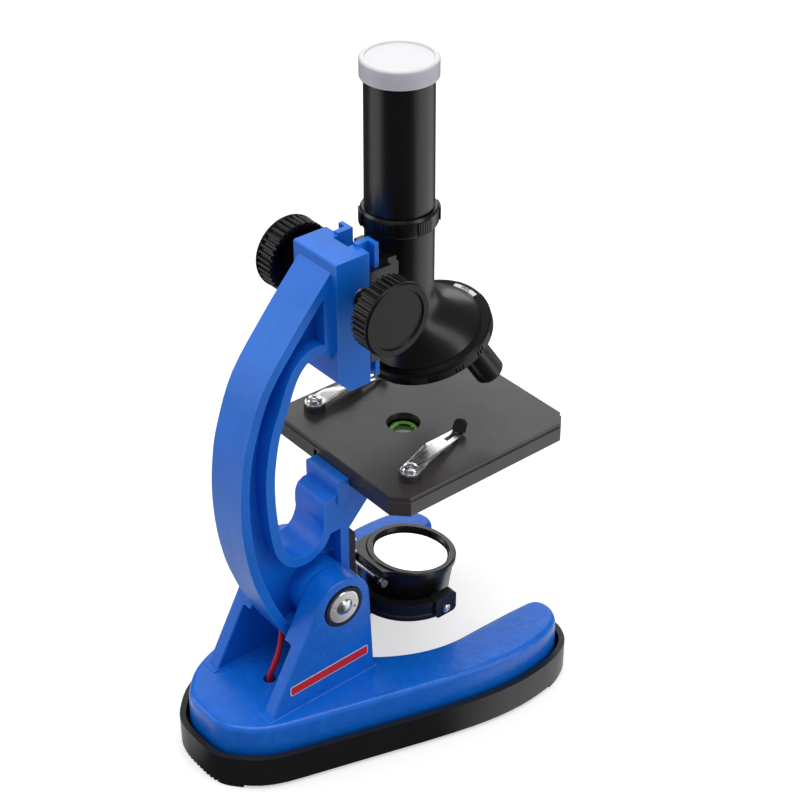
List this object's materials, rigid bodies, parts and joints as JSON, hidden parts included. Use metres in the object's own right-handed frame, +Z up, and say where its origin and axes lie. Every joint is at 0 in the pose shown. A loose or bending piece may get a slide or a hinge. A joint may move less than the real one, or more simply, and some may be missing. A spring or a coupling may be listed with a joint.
{
  "type": "toy microscope",
  "caption": "Child's compound microscope with horseshoe base, tilting C-shaped arm, rack focus, slanted objective turret, clip stage, colour wheel and tilting mirror drum with lamp.",
  "frame": {"origin": "on the floor, at the middle of the bounding box in plan", "axes": "+Z up, X along the focus shaft and the tilt pivot, horseshoe tips and stage towards -Y, arm towards +Y"},
  "size_m": [0.0942, 0.13, 0.2248],
  "materials": {
    "blue_enamel": "glossy hammered enamel",
    "blue_plastic": "glossy",
    "black_plastic": "glossy",
    "black_matte": "satin",
    "stage_dark": "satin",
    "rubber_black": "matte",
    "screw_steel": "bright",
    "plain_steel": "brushed",
    "clip_steel": "bright",
    "battery_skin": "satin",
    "wire_red": "satin",
    "lens_glass": "clear",
    "green_glass": "clear",
    "cap_clear": "milky, translucent",
    "mirror_silver": "polished",
    "lamp_white": "frosted"
  },
  "bodies": {
    "base": {"base_casting": "blue_enamel", "base_tray": "black_matte", "tray_screws": "screw_steel", "feet": "rubber_black", "battery_door": "black_matte", "door_screw": "screw_steel", "batteries": "battery_skin", "battery_contacts": "plain_steel", "wire_in_base": "wire_red", "pivot_bolt": "screw_steel", "pivot_washers": "black_matte", "pivot_caps": "screw_steel"},
    "arm": {"arm_left": "blue_plastic", "arm_right": "blue_plastic", "arm_screws": "screw_steel", "stage_screws": "screw_steel", "wire_in_arm": "wire_red", "stage_plate": "stage_dark", "clip_screws": "screw_steel", "wheel_pin": "screw_steel", "fork": "black_matte", "fork_screws": "screw_steel", "fork_pins": "screw_steel"},
    "focus_shaft": {"pinion": "plain_steel", "knob_left": "black_plastic", "knob_right": "black_plastic", "knob_washers": "plain_steel"},
    "carriage": {"rack_slide": "black_plastic", "slide_screws": "screw_steel", "body_tube": "black_plastic", "turret_screw": "screw_steel", "turret_spring": "plain_steel"},
    "collar_ring": {"collar": "black_plastic"},
    "eyepiece": {"eyepiece_tube": "black_plastic", "eye_spacer": "black_plastic", "eye_lens": "lens_glass", "eye_ring": "black_plastic", "field_lens": "lens_glass"},
    "cap": {"dust_cap": "cap_clear"},
    "turret": {"turret_disc": "black_plastic", "objective_short": "black_plastic", "objective_medium": "black_plastic", "objective_long": "black_plastic", "objective_lenses": "lens_glass"},
    "clip_l": {"clip_left": "clip_steel", "clip_tip_left": "rubber_black"},
    "clip_r": {"clip_right": "clip_steel", "clip_tip_right": "rubber_black"},
    "colour_wheel": {"filter_wheel": "black_matte", "filter_glasses": "green_glass"},
    "mirror": {"mirror_drum": "black_plastic", "mirror_glass": "mirror_silver", "lamp": "lamp_white", "latch_rod": "plain_steel"}
  },
  "joints": [
    {"name": "arm_tilt", "type": "hinge", "parent": "base", "child": "arm", "pos_m": [0, 0.0176, 0.0546], "axis": [-1, 0, 0], "range_deg": [0, 50]},
    {"name": "focus_knob", "type": "hinge", "parent": "arm", "child": "focus_shaft", "pos_m": [0, 0.0022, 0.1589], "axis": [-1, 0, 0], "range_deg": [-34, 118]},
    {"name": "focus_slide", "type": "slide", "parent": "arm", "child": "carriage", "axis": [0, 0, 1], "range_m": [-0.0026, 0.0098]},
    {"name": "collar_turn", "type": "hinge", "parent": "carriage", "child": "collar_ring", "pos_m": [0, -0.0202, 0.1751], "axis": [0, 0, 1], "continuous": true},
    {"name": "eyepiece_draw", "type": "slide", "parent": "carriage", "child": "eyepiece", "axis": [0, 0, 1], "range_m": [0, 0.012]},
    {"name": "cap_lift", "type": "slide", "parent": "eyepiece", "child": "cap", "axis": [0, 0, 1], "range_m": [0, 0.03]},
    {"name": "turret_turn", "type": "hinge", "parent": "carriage", "child": "turret", "pos_m": [0, -0.0302, 0.1314], "axis": [0, 0.3322, 0.9432], "continuous": true},
    {"name": "clip_left_swing", "type": "hinge", "parent": "arm", "child": "clip_l", "pos_m": [-0.0242, -0.0045, 0.1013], "axis": [0, 0, 1], "range_deg": [-41, 12]},
    {"name": "clip_right_swing", "type": "hinge", "parent": "arm", "child": "clip_r", "pos_m": [0.0242, -0.0045, 0.1013], "axis": [0, 0, -1], "range_deg": [-22, 31]},
    {"name": "wheel_turn", "type": "hinge", "parent": "arm", "child": "colour_wheel", "pos_m": [0, -0.0396, 0.0946], "axis": [0, 0, 1], "continuous": true},
    {"name": "mirror_tilt", "type": "hinge", "parent": "arm", "child": "mirror", "pos_m": [0, -0.0237, 0.033], "axis": [1, 0, 0], "range_deg": [-8, 175]}
  ],
  "couplings": [
    {"joint": "focus_knob", "follows": "focus_slide", "rad_per_m": 204.08}
  ]
}
